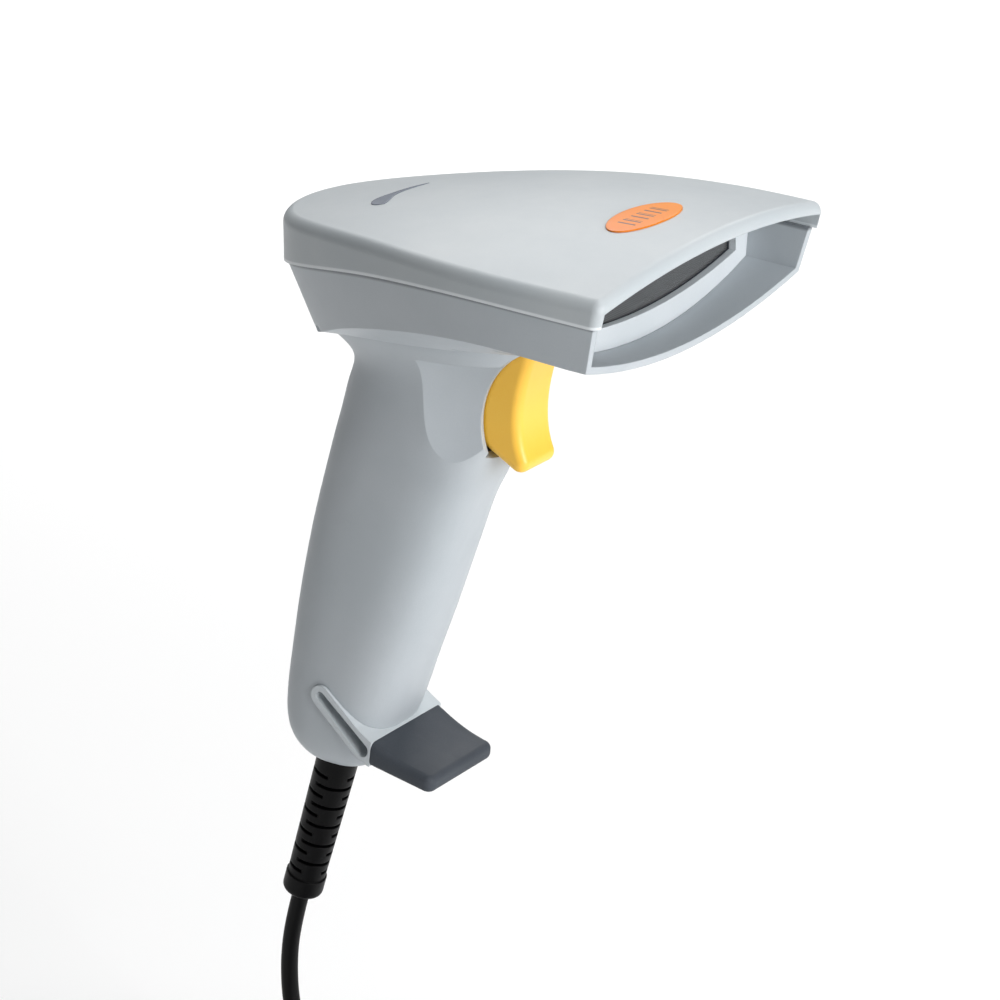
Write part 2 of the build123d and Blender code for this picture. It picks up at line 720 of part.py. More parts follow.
def badge_form():
    """Oval pad let into the roof."""
    pad = Pos(BADGE_AT[0], BADGE_AT[1], 90) * Ellipse(*BADGE_HALF)
    column = extrude(pad, 20, dir=(0, 0, 1))
    return (column & under_crown(-0.35)) - under_crown(1.0)


def indicator_form():
    """Tear-shaped light guide that comes up through the roof."""
    rear = Spline(*[(x, y, 80) for x, y in INDICATOR_REAR])
    front = Spline(*[(x, y, 80) for x, y in INDICATOR_FRONT])
    column = extrude(make_face(rear + front), 30, dir=(0, 0, 1))
    return (column & under_crown(-0.15)) - under_crown(TOP_WALL + 0.6)


def indicator_led():
    return block(7.9, 10.1, -12.2, -9.2, BOARD_TOP, BOARD_TOP + 1.0)


# ---------------------------------------------------------------- cable entry in the grip
def grip_harness():
    """Wire bundle from the strain relief up past the switch to the board's connector."""
    top = BOARD_TOP + 1.2
    start = along_relief(-FLANGE_UP[1])
    points = [
        (start[0], 0, start[1]),
        (-10.7, 0, -45.4),
        (-16.5, 0, -36.5),
        (-17.0, 0, -26.0),
        (-11.5, 1.5, -8.0),
        (-5.0, 4.0, 14.0),
        (2.5, 8.0, 34.0),
        (5.0, 8.0, 50.0),
        (-1.0, 5.5, 64.0),
        (-11.0, 1.5, 76.0),
        (-11.5, 0, top),
        (-3.0, 0, top),
    ]
    return tube(points, 1.3)


def strain_relief():
    """Flexible sleeve with flex slits in alternate rows and a plain end ring."""
    sleeve = extrude(lean_plane(along_relief(-FLANGE_UP[1])) * Circle(FLANGE_R), FLANGE_UP[1] - FLANGE_UP[0])
    sleeve = sleeve + extrude(lean_plane(along_relief(-FLANGE_UP[1])) * Circle(RELIEF_R), FLANGE_UP[1])
    sleeve = sleeve + loft(
        [
            lean_plane(along_relief(0)) * Circle(RELIEF_R),
            lean_plane(along_relief(RELIEF_LENGTH - 5)) * Circle(RELIEF_END_R),
        ]
    )
    sleeve = sleeve - slit_rows()
    ring = extrude(lean_plane(along_relief(RELIEF_LENGTH - 6)) * Circle(RELIEF_RING_R), 6)
    ring = fillet(ring.edges().sort_by(Axis.Z)[0], 1.8)
    return sleeve + ring


def slit_rows():
    """Pairs of slits; each row is turned a quarter from the row before it."""
    cuts = []
    for row in range(11):
        place = lean_plane(along_relief(9.6 + 3.1 * row))
        for side in (-1, 1):
            turn = 45 + 90 * (row % 2)
            cut = place * (Rot(0, 0, turn) * Pos(side * 6.2, 0, 0) * Box(7.2, 14, 1.0))
            cuts.append(cut)
    return cuts


# ---------------------------------------------------------------- cord
def tube(points, radius, report=None):
    """Round tube along straight runs joined by tangent arcs."""
    corners = [Vector(*p) for p in points]
    radii = []
    for a, b, c in zip(corners[:-2], corners[1:-1], corners[2:]):
        turn = (b - a).get_angle(c - b)
        shorter = min((b - a).length, (c - b).length)
        radii.append(0.45 * shorter / math.tan(math.radians(turn) / 2))
    path = FilletPolyline(*corners, radius=radii)
    body = sweep(Plane(origin=path @ 0, z_dir=path % 0) * Circle(radius), path=path)
    if report:
        ideal = path.length * math.pi * radius**2
        print(report, "radii", [round(r, 1) for r in radii])
        print(report, "length", round(path.length, 1), "volume over ideal", round(body.volume / ideal, 4))
    return body


RELIEF_END = along_relief(RELIEF_LENGTH)
TIE_T = 0.8  # thickness of the strap under the coil
COIL_R = 26.7  # to the middle of the turns
COIL_COLUMNS = 3
COIL_ROWS = 4
COIL_BAND = COIL_COLUMNS * 2 * CORD_R
COIL_HEIGHT = COIL_ROWS * 2 * CORD_R + 0.4
COIL_LOW = FLOOR_Z + TIE_T
TOP_TURN_Z = COIL_LOW + (2 * COIL_ROWS - 1) * CORD_R
CORD_ROUTE = [
    (RELIEF_END[0], 0.0, RELIEF_END[1]),
    (-30.95, 0.0, -112.1),
    (-33.0, 0.1, -124.6),
    (-32.4, 0.0, -138.4),
    (-27.6, -0.9, -150.6),
    (-17.4, -2.6, -159.4),
    (-4.0, -5.1, TOP_TURN_Z + 0.2),
    (9.6, -7.7, TOP_TURN_Z),
]
JOIN_TURN = math.radians(79.3)  # where on the coil the lead arrives, seen from above
COIL_AT = (
    CORD_ROUTE[-1][0] - COIL_R * math.cos(JOIN_TURN),
    CORD_ROUTE[-1][1] - COIL_R * math.sin(JOIN_TURN),
)
TAIL_Y = COIL_AT[1] + COIL_R + 2 * CORD_R  # the outermost turn leaves along +X here
PLUG_HALF_H = 4.0
PLUG_X = 25.0


def cord_coil():
    """Outer shape of the wound cord: a rounded ring that lies on its tie."""
    ring = Cylinder(COIL_R + COIL_BAND / 2, COIL_HEIGHT) - Cylinder(COIL_R - COIL_BAND / 2, COIL_HEIGHT + 2)
    rims = ring.edges().filter_by(GeomType.CIRCLE)
    return Pos(COIL_AT[0], COIL_AT[1], COIL_LOW + COIL_HEIGHT / 2) * fillet(rims, 1.6)


def cord_lead():
    """Cord from the strain relief down to the coil."""
    return tube(CORD_ROUTE, CORD_R, report="cord_lead") - cord_coil()


def cord_tail():
    """Short end of the cord between the coil and the plug."""
    start = (COIL_AT[0] + 4.0, TAIL_Y, COIL_LOW + CORD_R + 0.1)
    end = (PLUG_X, TAIL_Y, FLOOR_Z + PLUG_HALF_H)
    path = Line(start, end)
    return sweep(Plane(origin=path @ 0, z_dir=path % 0) * Circle(CORD_R), path=path) - cord_coil() - plug_form()


def coil_tie():
    """Strap closed around the coil's band, opposite the lead."""
    outer = COIL_BAND / 2 + 1.0
    y = COIL_AT[1] - COIL_R
    loop = block(COIL_AT[0] - 4, COIL_AT[0] + 4, y - outer, y + outer, FLOOR_Z, COIL_LOW + COIL_HEIGHT + 0.9)
    return loop - cord_coil()


def plug_form():
    """Moulded body of the USB plug with its tapered boot."""
    z = FLOOR_Z + PLUG_HALF_H
    body = block(PLUG_X + 9, PLUG_X + 31, TAIL_Y - 8, TAIL_Y + 8, FLOOR_Z, FLOOR_Z + 2 * PLUG_HALF_H)
    body = fillet(body.edges().filter_by(Axis.X), 2.0)
    body = fillet(body.faces().sort_by(Axis.X)[0].edges(), 1.2)
    boot = Pos(PLUG_X + 4.8, TAIL_Y, z) * Rot(0, 90, 0) * Cone(3.0, 3.9, 9.6)
    return body + boot


def usb_plug_shell():
    """Folded metal shell with two windows on each broad side."""
    z = FLOOR_Z + PLUG_HALF_H
    x0, x1 = PLUG_X + 31, PLUG_X + 43
    shell = block(x0, x1, TAIL_Y - 6, TAIL_Y + 6, z - 2.25, z + 2.25)
    shell = shell - block(x0 + 0.4, x1 + 1, TAIL_Y - 5.7, TAIL_Y + 5.7, z - 1.95, z + 1.95)
    for side in (-2.9, 2.9):
        shell = shell - block(x0 + 5, x0 + 7.4, TAIL_Y + side - 1.2, TAIL_Y + side + 1.2, z - 5, z + 5)
    return shell


def usb_plug_tongue():
    """Insulating tongue that carries the four contacts."""
    z = FLOOR_Z + PLUG_HALF_H
    return block(PLUG_X + 31.4, PLUG_X + 42.4, TAIL_Y - 5.6, TAIL_Y + 5.6, z - 1.9, z + 0.1)


# ---------------------------------------------------------------- write every node
MAKERS = {
    "top_cover": top_cover,
    "lower_case": lower_case,
    "grip_foot": grip_foot,
    "foot_tip": foot_tip,
    "badge": badge_form,
    "indicator_lens": indicator_form,
    "scan_bezel": scan_bezel,
    "scan_window": scan_window,
    "window_gasket": window_gasket,
    "optical_chassis": optical_chassis,
    "lens_barrel": lens_barrel,
    "focusing_lens": focusing_lens,
    "sensor_board": sensor_board,
    "line_sensor": line_sensor,
    "led_board": led_board,
    "scan_leds": scan_leds,
    "decoder_board": decoder_board,
    "decoder_chips": decoder_chips,
    "board_connector": board_connector,
    "buzzer": buzzer,
    "indicator_led": indicator_led,
    "case_screws": case_screws,
    "chassis_screws": chassis_screws,
    "board_screws": board_screws,
    "trigger": trigger,
    "trigger_pin": trigger_pin,
    "trigger_spring": trigger_spring,
    "switch_body": switch_body,
    "switch_plunger": switch_plunger,
    "switch_terminals": switch_terminals,
    "switch_bracket": switch_bracket,
    "bracket_screws": bracket_screws,
    "grip_harness": grip_harness,
    "strain_relief": strain_relief,
    "cord_lead": cord_lead,
    "cord_coil": cord_coil,
    "cord_tail": cord_tail,
    "coil_tie": coil_tie,
    "usb_plug_body": plug_form,
    "usb_plug_shell": usb_plug_shell,
    "usb_plug_tongue": usb_plug_tongue,
}

if __name__ == "__main__":
    for node, maker in MAKERS.items():
        save(node, maker())
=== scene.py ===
import math

import bpy
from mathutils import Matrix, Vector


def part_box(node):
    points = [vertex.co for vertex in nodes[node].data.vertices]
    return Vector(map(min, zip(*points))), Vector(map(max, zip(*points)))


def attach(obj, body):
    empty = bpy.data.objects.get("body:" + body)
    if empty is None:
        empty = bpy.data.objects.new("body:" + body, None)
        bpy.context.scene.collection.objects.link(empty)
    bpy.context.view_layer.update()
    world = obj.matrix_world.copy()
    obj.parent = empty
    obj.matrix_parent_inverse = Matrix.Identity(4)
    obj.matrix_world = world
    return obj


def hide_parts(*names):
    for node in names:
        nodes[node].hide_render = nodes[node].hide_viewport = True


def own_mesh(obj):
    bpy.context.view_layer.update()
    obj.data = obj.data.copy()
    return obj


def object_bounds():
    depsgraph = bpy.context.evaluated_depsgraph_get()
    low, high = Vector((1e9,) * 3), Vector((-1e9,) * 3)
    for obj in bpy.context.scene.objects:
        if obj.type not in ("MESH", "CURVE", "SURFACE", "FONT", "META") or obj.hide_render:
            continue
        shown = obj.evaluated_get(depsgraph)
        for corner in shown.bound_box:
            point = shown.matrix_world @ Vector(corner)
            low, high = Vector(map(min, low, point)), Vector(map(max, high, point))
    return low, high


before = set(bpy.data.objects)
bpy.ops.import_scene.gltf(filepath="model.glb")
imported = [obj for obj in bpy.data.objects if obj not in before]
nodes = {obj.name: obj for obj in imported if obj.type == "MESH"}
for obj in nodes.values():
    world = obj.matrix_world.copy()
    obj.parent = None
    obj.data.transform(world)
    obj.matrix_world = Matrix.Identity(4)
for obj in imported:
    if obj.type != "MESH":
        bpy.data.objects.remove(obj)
cad_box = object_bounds()
BODY = "scanner_body"
MM = 0.001


# ------------------------------------------------------------------ node helpers
# Sockets of a colour mix node: factor, first colour, second colour, result.
MIX_FACTOR, MIX_A, MIX_B, MIX_RESULT = 0, 6, 7, 2


def feed(tree, value, socket):
    """Link an output socket to an input socket, or set the input to a plain value."""
    if isinstance(value, bpy.types.NodeSocket):
        tree.links.new(value, socket)
    else:
        socket.default_value = value


def object_place(tree):
    """Position in the piece's own frame, in metres."""
    return tree.nodes.new("ShaderNodeTexCoord").outputs["Object"]


def split_axes(tree, vector):
    """Separate a vector; returns the outputs X, Y and Z by name."""
    axes = tree.nodes.new("ShaderNodeSeparateXYZ")
    tree.links.new(vector, axes.inputs[0])
    return axes.outputs


def calculate(tree, operation, *terms):
    """Math node on sockets or numbers; returns the result socket."""
    node = tree.nodes.new("ShaderNodeMath")
    node.operation = operation
    for term, socket in zip(terms, node.inputs):
        feed(tree, term, socket)
    return node.outputs[0]


def blend_colours(tree, factor, a, b):
    """Mix two colour sockets or values by a factor socket; returns the result socket."""
    mix = tree.nodes.new("ShaderNodeMix")
    mix.data_type = "RGBA"
    for value, index in ((factor, MIX_FACTOR), (a, MIX_A), (b, MIX_B)):
        feed(tree, value, mix.inputs[index])
    return mix.outputs[MIX_RESULT]


def noise(tree, place, scale, detail=2.0, roughness=0.5):
    """Noise texture read at the place socket; returns its value socket."""
    texture = tree.nodes.new("ShaderNodeTexNoise")
    texture.inputs["Scale"].default_value = scale
    texture.inputs["Detail"].default_value = detail
    texture.inputs["Roughness"].default_value = roughness
    tree.links.new(place, texture.inputs["Vector"])
    return texture.outputs["Fac"]


def remap(tree, value, source, target):
    """Map a value from the source range to the target range, clamped; returns the result."""
    node = tree.nodes.new("ShaderNodeMapRange")
    tree.links.new(value, node.inputs["Value"])
    for side, limits in (("From", source), ("To", target)):
        feed(tree, limits[0], node.inputs[side + " Min"])
        feed(tree, limits[1], node.inputs[side + " Max"])
    return node.outputs["Result"]


def new_group(name, inputs, outputs):
    """Empty shader group with named sockets; returns the group and its two end nodes."""
    group = bpy.data.node_groups.new(name, "ShaderNodeTree")
    for label, kind, value in inputs:
        socket = group.interface.new_socket(label, in_out="INPUT", socket_type=kind)
        socket.default_value = value
    for label, kind in outputs:
        group.interface.new_socket(label, in_out="OUTPUT", socket_type=kind)
    return group, group.nodes.new("NodeGroupInput"), group.nodes.new("NodeGroupOutput")


def use_group(tree, group):
    """Group node in a material's tree."""
    node = tree.nodes.new("ShaderNodeGroup")
    node.node_tree = group
    return node


# ------------------------------------------------------------------ node groups
# Texture scales of the mould grain, per metre, and the part the fine specks have in its tone.
CLOUD_SCALE = 34
SHEEN_SCALE = 260
PIT_SCALE = 2600
SPECK_SHARE = 0.35


def moulded_grain():
    """Spark-eroded mould grain: slow clouds of tone, fine pits, uneven sheen."""
    group, ends, out = new_group(
        "moulded_grain",
        [
            ("Tone", "NodeSocketColor", (0.5, 0.5, 0.5, 1)),
            ("Deep Tone", "NodeSocketColor", (0.4, 0.4, 0.4, 1)),
            ("Sheen Low", "NodeSocketFloat", 0.4),
            ("Sheen High", "NodeSocketFloat", 0.5),
        ],
        [
            ("Color", "NodeSocketColor"),
            ("Roughness", "NodeSocketFloat"),
            ("Height", "NodeSocketFloat"),
        ],
    )
    place = object_place(group)
    clouds = remap(group, noise(group, place, CLOUD_SCALE, 3), (0.35, 0.68), (0, 1))
    pits = noise(group, place, PIT_SCALE, 2, 0.6)
    specks = remap(group, pits, (0.35, 0.65), (0, 1))
    both = calculate(group, "MULTIPLY_ADD", specks, SPECK_SHARE, clouds)
    tone = blend_colours(group, both, ends.outputs["Tone"], ends.outputs["Deep Tone"])
    sheen = remap(
        group, noise(group, place, SHEEN_SCALE, 3),
        (0, 1), (ends.outputs["Sheen Low"], ends.outputs["Sheen High"]),
    )
    group.links.new(tone, out.inputs["Color"])
    group.links.new(sheen, out.inputs["Roughness"])
    group.links.new(pits, out.inputs["Height"])
    return group


# X and Z ranges that the curve of the seam's height covers.
SEAM_X = (-0.024, 0.100)
SEAM_Z = (0.070, 0.100)
# Stations along X where the rim's height is read, and how far from one a vertex may lie.
RIM_START = -22.2 * MM
RIM_STEP = 4.6 * MM
RIM_STATIONS = 26
RIM_REACH = 3.0 * MM
DOWNWARD = -0.5  # a face whose normal has less Z than this looks down
# Heights over which the painted highlight on the cover's rim and the painted shade under it fade,
# in seam widths above the rim's lower edge.
RIM_FADE = (0.9, 1.5)
SHADE_FADE = (-1.8, -0.8)


def seam_heights():
    """Height of the cover's lower rim at stations along X, from its downward faces."""
    mesh = nodes["top_cover"].data
    under = {v for face in mesh.polygons if face.normal.z < DOWNWARD for v in face.vertices}
    points = [mesh.vertices[v].co for v in under]
    rim = {}
    for station in range(RIM_STATIONS):
        x = RIM_START + RIM_STEP * station
        near = [p for p in points if abs(p.x - x) < RIM_REACH]
        outer = max(near, key=lambda p: abs(p.y))
        rim[round(outer.x, 5)] = outer.z
    return sorted(rim.items())


def share_of(value, span):
    """Where a value lies in a span, 0 at its start and 1 at its end."""
    return (value - span[0]) / (span[1] - span[0])


def seam_highlight_and_shade():
    """Masks for a painted highlight on the cover's rounded lower rim and a painted shadow line just
    under it.
    """
    group, ends, out = new_group(
        "seam_highlight_and_shade",
        [("Width", "NodeSocketFloat", 0.6 * MM)],
        [("Painted Highlight", "NodeSocketFloat"), ("Shade", "NodeSocketFloat")],
    )
    axes = split_axes(group, object_place(group))
    curve = group.nodes.new("ShaderNodeFloatCurve")
    track = curve.mapping.curves[0]
    places = [(share_of(x, SEAM_X), share_of(z, SEAM_Z)) for x, z in seam_heights()]
    track.points[0].location = places[0]
    track.points[1].location = places[-1]
    for place in places[1:-1]:
        track.points.new(*place)
    curve.mapping.update()
    group.links.new(remap(group, axes["X"], SEAM_X, (0, 1)), curve.inputs["Value"])
    seam = remap(group, curve.outputs["Value"], (0, 1), SEAM_Z)
    above = calculate(group, "SUBTRACT", axes["Z"], seam)
    widths = calculate(group, "DIVIDE", above, ends.outputs["Width"])
    group.links.new(remap(group, widths, RIM_FADE, (1, 0)), out.inputs["Painted Highlight"])
    group.links.new(remap(group, widths, SHADE_FADE, (0, 1)), out.inputs["Shade"])
    return group


# Two waves across the badge whose product gives bars of uneven width: each wave's radians per
# metre, and the level above which it prints.
BAR_WAVES = ((2100, 0.1), (5300, -0.2))
BAR_HALF_LENGTH = 2.4 * MM
BADGE_HALF_WIDTH = 14.4 * MM


def bar_mark():
    """Row of upright bars of uneven width, as on a code label, in the badge's middle."""
    group, ends, out = new_group(
        "bar_mark",
        [("Centre", "NodeSocketVector", (0, 0, 0)), ("Reach", "NodeSocketFloat", 8.5 * MM)],
        [("Mask", "NodeSocketFloat"), ("Along", "NodeSocketFloat")],
    )
    shift = group.nodes.new("ShaderNodeVectorMath")
    shift.operation = "SUBTRACT"
    group.links.new(object_place(group), shift.inputs[0])
    group.links.new(ends.outputs["Centre"], shift.inputs[1])
    axes = split_axes(group, shift.outputs[0])
    across = axes["Y"]

    def within(value, limit):
        return calculate(group, "LESS_THAN", calculate(group, "ABSOLUTE", value), limit)

    mask = calculate(
        group, "MULTIPLY", within(across, ends.outputs["Reach"]), within(axes["X"], BAR_HALF_LENGTH)
    )
    for waves, level in BAR_WAVES:
        wave = calculate(group, "SINE", calculate(group, "MULTIPLY", across, waves))
        printed = calculate(group, "GREATER_THAN", wave, level)
        mask = calculate(group, "MULTIPLY", mask, printed)
    along = remap(group, across, (-BADGE_HALF_WIDTH, BADGE_HALF_WIDTH), (0, 1))
    group.links.new(mask, out.inputs["Mask"])
    group.links.new(along, out.inputs["Along"])
    return group


GRAIN = moulded_grain()
SEAM_LIGHT = seam_highlight_and_shade()
BARS = bar_mark()


# ------------------------------------------------------------------ materials
GRAIN_DEPTH = 0.15 * MM
EDGE_ROUND = 0.45 * MM
EDGE_SAMPLES = 4
SHEEN_BELOW = 0.05
SHEEN_ABOVE = 0.07
# Painted reflection in the window: fine level lines, as of something ribbed reflected in it.
REFLECTION_LINE_SCALE = 620
REFLECTION_LINE_WANDER = 0.6


def srgb(red, green, blue):
    """Linear colour with alpha from 0 to 255 display values."""
    linear = []
    for value in (red, green, blue):
        c = value / 255
        linear.append(c / 12.92 if c <= 0.04045 else ((c + 0.055) / 1.055) ** 2.4)
    return (*linear, 1.0)


def moulded(name, tone, deep, sheen, bump=0.08, **shader_values):
    """Plastic, rubber or metal finish made with the mould-grain group."""
    material = bpy.data.materials.new(name)
    material.use_nodes = True
    tree = material.node_tree
    shader = tree.nodes["Principled BSDF"]
    grain = use_group(tree, GRAIN)
    grain.inputs["Tone"].default_value = tone
    grain.inputs["Deep Tone"].default_value = deep
    grain.inputs["Sheen Low"].default_value = sheen - SHEEN_BELOW
    grain.inputs["Sheen High"].default_value = sheen + SHEEN_ABOVE
    edge = tree.nodes.new("ShaderNodeBevel")
    edge.samples = EDGE_SAMPLES
    edge.inputs["Radius"].default_value = EDGE_ROUND
    relief = tree.nodes.new("ShaderNodeBump")
    relief.inputs["Strength"].default_value = bump
    relief.inputs["Distance"].default_value = GRAIN_DEPTH
    tree.links.new(grain.outputs["Height"], relief.inputs["Height"])
    tree.links.new(edge.outputs["Normal"], relief.inputs["Normal"])
    tree.links.new(grain.outputs["Color"], shader.inputs["Base Color"])
    tree.links.new(grain.outputs["Roughness"], shader.inputs["Roughness"])
    tree.links.new(relief.outputs["Normal"], shader.inputs["Normal"])
    for label, value in shader_values.items():
        shader.inputs[label.replace("_", " ")].default_value = value
    material.diffuse_color = tone
    return material


def lay_colour(material, factor, colour):
    """Lay a colour over a finish's base colour by a factor socket."""
    tree = material.node_tree
    base = tree.nodes["Principled BSDF"].inputs["Base Color"]
    tree.links.new(blend_colours(tree, factor, base.links[0].from_socket, colour), base)


def paint_seam_light(material, mask, colour):
    """Paint light and shade into a shell's finish along the seam between cover and lower case, by
    the mask given.
    """
    lay_colour(material, use_group(material.node_tree, SEAM_LIGHT).outputs[mask], colour)
    return material


def badge_finish():
    """Glossy domed orange label with a painted highlight that pales it towards one end, with the
    bars in slate.
    """
    material = moulded(
        "badge_orange", srgb(238, 132, 14), srgb(230, 122, 10), 0.3, 0.0,
        Specular_IOR_Level=0.2, Coat_Weight=0.12, Coat_Roughness=0.05,
    )
    mark = use_group(material.node_tree, BARS)
    low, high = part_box("badge")
    mark.inputs["Centre"].default_value = tuple((low[i] + high[i]) / 2 for i in range(3))
    # Painted highlight: the dome paler towards one end, where light falls across it.
    lay_colour(material, mark.outputs["Along"], srgb(250, 150, 32))
    lay_colour(material, mark.outputs["Mask"], srgb(92, 70, 70))
    return material


def window_finish():
    """Tinted window with a painted reflection of fine level lines."""
    material = moulded(
        "window_tint", srgb(96, 97, 98), srgb(84, 85, 86), 0.12, 0.0,
        Coat_Weight=0.8, Coat_Roughness=0.04,
    )
    tree = material.node_tree
    reflection_lines = tree.nodes.new("ShaderNodeTexWave")
    reflection_lines.bands_direction = "Z"
    reflection_lines.inputs["Scale"].default_value = REFLECTION_LINE_SCALE
    reflection_lines.inputs["Distortion"].default_value = REFLECTION_LINE_WANDER
    tree.links.new(object_place(tree), reflection_lines.inputs["Vector"])
    # Painted reflection: darker level lines across the window.
    lay_colour(material, reflection_lines.outputs["Fac"], srgb(70, 70, 71))
    return material


# Plain finishes: name, tone, deep tone, sheen, grain strength, then the shader's other values.
DULL = {"Specular_IOR_Level": 0.12}
METAL = {"Metallic": 1.0}
PLAIN = {
    "cover": ("cover_plastic", (184, 190, 193), (178, 185, 189), 0.42, 0.08, {}),
    # Painted shade: the lower case's tone is a little darker than the cover's, as it sits under the
    # cover's overhang.
    "case": ("case_plastic", (178, 184, 189), (172, 179, 184), 0.44, 0.08, {}),
    "foot": ("foot_plastic", (196, 202, 206), (190, 197, 201), 0.44, 0.08, {}),
    "bezel": ("bezel_plastic", (216, 221, 225), (209, 215, 219), 0.40, 0.08, {}),
    "rubber": ("soft_rubber", (68, 73, 80), (60, 65, 72), 0.6, 0.12, {"Specular_IOR_Level": 0.3}),
    "trigger": ("trigger_yellow", (255, 202, 76), (254, 196, 66), 0.34, 0.05, {}),
    "indicator": ("indicator_lens", (140, 148, 158), (124, 132, 146), 0.22, 0.02, {}),
    "cord": ("cord_jacket", (11, 11, 12), (8, 8, 9), 0.42, 0.08, DULL),
    "boot": ("cord_boot", (7, 7, 8), (5, 5, 6), 0.40, 0.10, DULL),
    "black": ("black_plastic", (38, 39, 41), (30, 31, 33), 0.5, 0.08, {}),
    "ivory": ("ivory_plastic", (222, 218, 204), (214, 210, 196), 0.45, 0.08, {}),
    "board": ("solder_mask", (28, 96, 58), (22, 84, 50), 0.3, 0.04, {}),
    "ceramic": ("ceramic_package", (176, 168, 158), (166, 158, 148), 0.5, 0.08, {}),
    "led": ("led_red", (214, 36, 36), (196, 26, 28), 0.18, 0.0, {"Coat_Weight": 0.5}),
    "steel": ("zinc_steel", (190, 191, 193), (170, 172, 175), 0.32, 0.05, METAL),
    "plug_metal": ("nickel_shell", (206, 205, 200), (190, 190, 186), 0.24, 0.03, METAL),
    "brass": ("tinned_brass", (214, 190, 130), (200, 172, 110), 0.32, 0.04, METAL),
    "glass": (
        "lens_glass", (214, 222, 230), (208, 216, 226), 0.08, 0.0, {"Transmission_Weight": 0.9}
    ),
}
FINISH = {
    key: moulded(name, srgb(*tone), srgb(*deep), sheen, bump, **values)
    for key, (name, tone, deep, sheen, bump, values) in PLAIN.items()
}
# Painted highlight: a pale line on the cover's rounded lower rim, where it catches the light.
paint_seam_light(FINISH["cover"], "Painted Highlight", srgb(222, 227, 230))
# Painted shade: a dark line on the lower case just under the cover's overhang.
paint_seam_light(FINISH["case"], "Shade", srgb(120, 125, 130))
FINISH["badge"] = badge_finish()
FINISH["window"] = window_finish()

WEARS = {
    "cover": ["top_cover"],
    "case": ["lower_case"],
    "foot": ["grip_foot"],
    "bezel": ["scan_bezel"],
    "rubber": ["foot_tip", "window_gasket"],
    "trigger": ["trigger"],
    "badge": ["badge"],
    "indicator": ["indicator_lens"],
    "window": ["scan_window"],
    "cord": ["grip_harness"],
    "boot": ["strain_relief", "usb_plug_body", "coil_tie"],
    "black": [
        "optical_chassis", "lens_barrel", "decoder_chips", "buzzer", "switch_body",
        "switch_bracket",
    ],
    "ivory": ["board_connector", "indicator_led", "switch_plunger", "usb_plug_tongue"],
    "board": ["sensor_board", "led_board", "decoder_board"],
    "ceramic": ["line_sensor"],
    "led": ["scan_leds"],
    "steel": [
        "case_screws", "chassis_screws", "board_screws", "bracket_screws", "trigger_pin",
        "trigger_spring",
    ],
    "plug_metal": ["usb_plug_shell"],
    "brass": ["switch_terminals"],
    "glass": ["focusing_lens"],
}


def wear(piece, finish):
    """Give a piece one finish in all its slots."""
    piece.data.materials.clear()
    piece.data.materials.append(FINISH[finish])


for finish, names in WEARS.items():
    for name in names:
        wear(nodes[name], finish)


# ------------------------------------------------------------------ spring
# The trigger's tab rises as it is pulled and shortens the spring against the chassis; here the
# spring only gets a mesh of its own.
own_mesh(nodes["trigger_spring"])


# ------------------------------------------------------------------ cord
CORD_D = 4.7 * MM
CORD_EXIT = (-0.02799, 0.0, -0.10236)
CORD_ROUTE = [
    CORD_EXIT,
    (-0.03095, 0.0, -0.1121),
    (-0.0330, 0.0001, -0.1246),
    (-0.0324, 0.0, -0.1384),
    (-0.0276, -0.0009, -0.1506),
    (-0.0174, -0.0026, -0.1594),
    (-0.0040, -0.0051, -0.16255),
]
COIL_CENTRE = (0.004643, -0.033936)
COIL_START = math.radians(79.3)
LOWEST_TURN = -0.17685
COLUMNS = {"inner": 22.0 * MM, "middle": 26.7 * MM, "outer": 31.4 * MM}
# Where each turn lies: column, and row counted from the lowest.
TURNS = [
    ("middle", 3), ("inner", 3), ("inner", 2), ("middle", 2), ("outer", 2), ("outer", 1),
    ("middle", 1), ("inner", 1), ("inner", 0), ("middle", 0), ("outer", 0),
]
CROSSING = 30  # degrees over which the cord steps from one turn's place to the next
LAP = 360 - CROSSING  # degrees from the start of one crossing to the start of the next
STEP = 15  # degrees between points of the coil
COIL_END = 3589  # degrees wound in all
# The curve runs inside its control points by this factor, so they are put out by it.
DRAWN_IN = 0.75 + 0.25 * math.cos(math.radians(STEP))
# X and Z of the cord's last points, from the lowest turn into the plug.
TAIL = [(0.0090, LOWEST_TURN), (0.0160, -0.1764), (0.0262, -0.1760)]
SECTION_STEPS = 6
LENGTH_STEPS = 8


def turn_place(wound):
    """Radius and height of the coil after so many degrees."""
    lap = min(wound // LAP, len(TURNS) - 1)
    column, row = TURNS[lap]
    column_before, row_before = TURNS[max(lap - 1, 0)]
    share = min(1.0, (wound - LAP * lap) / CROSSING)
    share = share * share * (3 - 2 * share)
    radius = COLUMNS[column_before] + (COLUMNS[column] - COLUMNS[column_before]) * share
    level = row_before + (row - row_before) * share
    return radius, LOWEST_TURN + level * CORD_D


def coil_points():
    """Control points of the coil, wound clockwise from above and from the top down."""
    points = []
    for wound in range(0, COIL_END, STEP):
        radius, height = turn_place(wound)
        angle = COIL_START - math.radians(wound)
        reach = radius / DRAWN_IN
        x = COIL_CENTRE[0] + reach * math.cos(angle)
        y = COIL_CENTRE[1] + reach * math.sin(angle)
        points.append((x, y, height))
    return points


def tail_points():
    """Straight end of the cord, along the outer column."""
    y = COIL_CENTRE[1] + COLUMNS["outer"]
    return [(x, y, z) for x, z in TAIL]


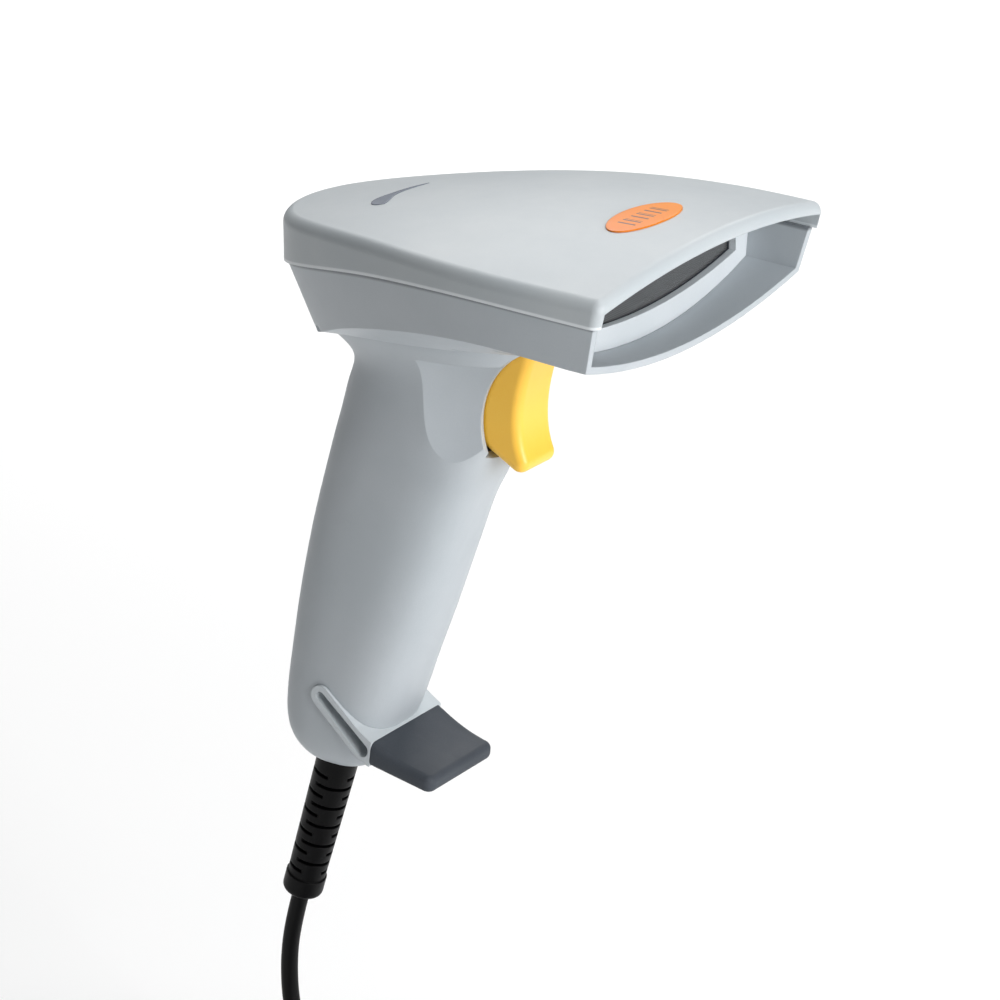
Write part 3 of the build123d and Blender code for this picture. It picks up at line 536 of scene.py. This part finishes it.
def cord():
    """The whole cord: down from the strain relief, round the coil, into the plug."""
    line = bpy.data.curves.new("cord", "CURVE")
    line.dimensions = "3D"
    line.bevel_depth = CORD_D / 2
    line.bevel_resolution = SECTION_STEPS
    line.use_fill_caps = True
    spline = line.splines.new("NURBS")
    points = CORD_ROUTE + coil_points() + tail_points()
    spline.points.add(len(points) - 1)
    for point, place in zip(spline.points, points):
        point.co = (*place, 1)
    spline.order_u = 3
    spline.use_endpoint_u = True
    spline.resolution_u = LENGTH_STEPS
    piece = bpy.data.objects.new("cord", line)
    bpy.context.scene.collection.objects.link(piece)
    wear(piece, "cord")
    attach(piece, BODY)
    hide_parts("cord_lead", "cord_coil", "cord_tail")
    return piece


cable = cord()


# ------------------------------------------------------------------ floor, light, camera
FLOOR_SIZE = 12
FLOOR_GAP = 0.5 * MM
FLOOR_WHITE = (0.96, 0.96, 0.96, 1)
FLOOR_ROUGHNESS = 0.9
WORLD_STRENGTH = 0.20
# Area lamps: place, point looked at, side in metres, watts.
LAMPS = {
    "key": ((0.50, 0.06, 0.50), (0.04, 0, 0.06), 0.35, 0.55),
    "front": ((1.15, -0.22, 0.30), (0.03, 0, 0.02), 0.7, 12),
    "overhead": ((0.2, 0.3, 1.5), (0.0, 0.2, -0.18), 1.2, 11),
    "backdrop": ((-0.9, 1.5, 1.1), (-0.85, 1.4, -0.18), 1.4, 24),
}
CAMERA_PLACE = (0.5370, -0.7580, 0.3523)
CAMERA_TURN = (math.radians(70), 0, math.radians(33.48))
SENSOR_WIDTH = 36
FOCAL_LENGTH = 139.968
CLIP = (0.05, 50)


def floor():
    """Wide white ground just under the model."""
    bpy.ops.mesh.primitive_plane_add(size=FLOOR_SIZE, location=(0, 0, cad_box[0].z - FLOOR_GAP))
    piece = bpy.context.object
    piece.name = "floor"
    material = bpy.data.materials.new("floor_white")
    material.use_nodes = True
    shader = material.node_tree.nodes["Principled BSDF"]
    shader.inputs["Base Color"].default_value = FLOOR_WHITE
    shader.inputs["Roughness"].default_value = FLOOR_ROUGHNESS
    piece.data.materials.append(material)


def lamp(name, place, aim, size, watts):
    """Square area lamp that looks at a point."""
    light = bpy.data.lights.new(name, "AREA")
    light.shape = "SQUARE"
    light.size = size
    light.energy = watts
    piece = bpy.data.objects.new(name, light)
    bpy.context.scene.collection.objects.link(piece)
    piece.location = place
    direction = piece.location.copy()
    for axis in range(3):
        direction[axis] = aim[axis] - place[axis]
    piece.rotation_euler = direction.to_track_quat("-Z", "Y").to_euler()


def studio():
    """White surroundings and the lamps."""
    world = bpy.data.worlds.new("studio")
    world.use_nodes = True
    sky = world.node_tree.nodes["Background"]
    sky.inputs["Color"].default_value = (1, 1, 1, 1)
    sky.inputs["Strength"].default_value = WORLD_STRENGTH
    bpy.context.scene.world = world
    bpy.context.scene.view_settings.view_transform = "Standard"
    for name, setting in LAMPS.items():
        lamp(name, *setting)


def camera():
    """Long lens from the front quarter, a little above the head."""
    eye = bpy.data.cameras.new("camera")
    eye.sensor_width = SENSOR_WIDTH
    eye.lens = FOCAL_LENGTH
    eye.clip_start, eye.clip_end = CLIP
    piece = bpy.data.objects.new("camera", eye)
    bpy.context.scene.collection.objects.link(piece)
    piece.location = CAMERA_PLACE
    piece.rotation_euler = CAMERA_TURN
    bpy.context.scene.camera = piece


floor()
studio()
camera()

bpy.context.view_layer.update()
